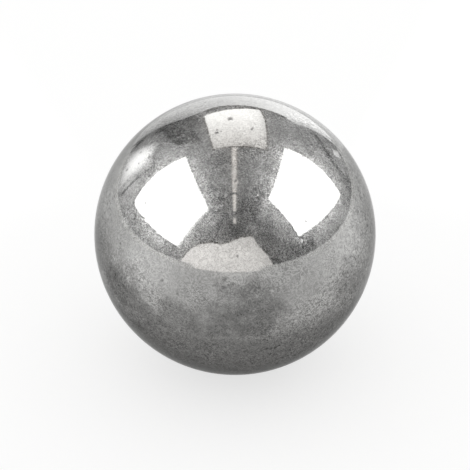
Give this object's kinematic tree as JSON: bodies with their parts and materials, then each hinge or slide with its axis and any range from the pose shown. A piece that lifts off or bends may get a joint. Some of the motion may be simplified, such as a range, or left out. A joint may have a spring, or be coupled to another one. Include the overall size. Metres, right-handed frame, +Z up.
{
  "type": "steel ball",
  "caption": "Solid polished steel ball: a plain one-piece sphere that rolls, bears or weighs down, held in a cup, ring or groove.",
  "frame": {"origin": "centre of the ball", "axes": "+Z up, away from the cup or ring that holds the ball from below; every axis through the centre is an axis of symmetry"},
  "size_m": [0.0254, 0.0254, 0.0254],
  "materials": {
    "polished_steel": "polished"
  },
  "bodies": {
    "root": {"ball": "polished_steel"}
  },
  "joints": []
}
